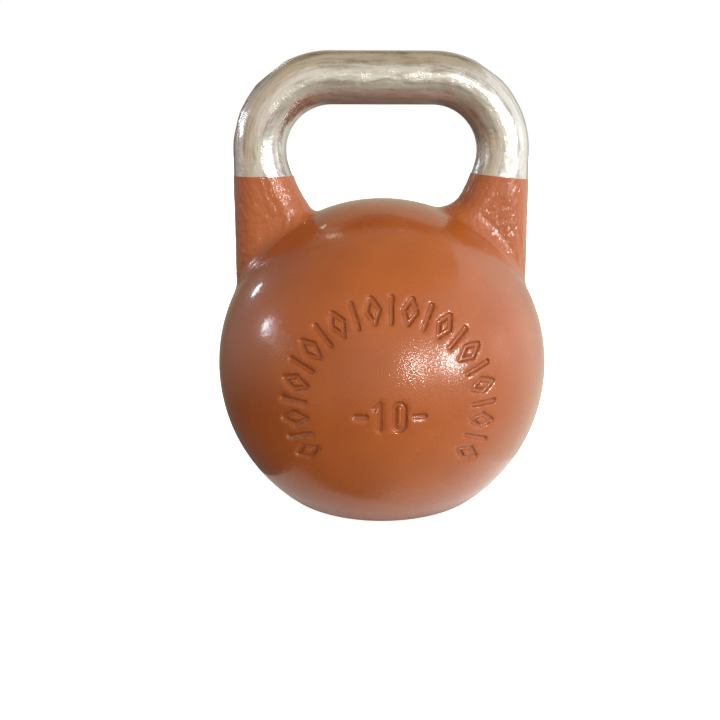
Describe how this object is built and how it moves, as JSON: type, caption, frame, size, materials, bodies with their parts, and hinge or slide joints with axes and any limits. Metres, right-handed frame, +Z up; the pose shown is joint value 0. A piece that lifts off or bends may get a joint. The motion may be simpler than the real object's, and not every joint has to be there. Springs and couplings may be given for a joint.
{
  "type": "competition kettlebell",
  "caption": "Hollow cast ball on a flat foot, with horns and a welded bent steel handle, trimmed by inner ballast and closed by a sealed plug; a hand weight for swings and lifts.",
  "frame": {"origin": "centre of the flat foot, on the floor", "axes": "+Z up through the ball to the handle; X along the grip; -Y out of the side that bears the weight mark"},
  "size_m": [0.21, 0.21, 0.28],
  "materials": {
    "body_paint": "gloss",
    "bare_steel": "satin",
    "weld_steel": "satin",
    "plug_zinc": "satin",
    "seal_rubber": "matte",
    "iron_shot": "matte"
  },
  "bodies": {
    "root": {"ball_shell": "body_paint", "handle_bar": "bare_steel", "weld_seam_left": "weld_steel", "weld_seam_right": "weld_steel", "filler_plug": "plug_zinc", "plug_seal": "seal_rubber", "ballast_fill": "iron_shot"}
  },
  "joints": []
}
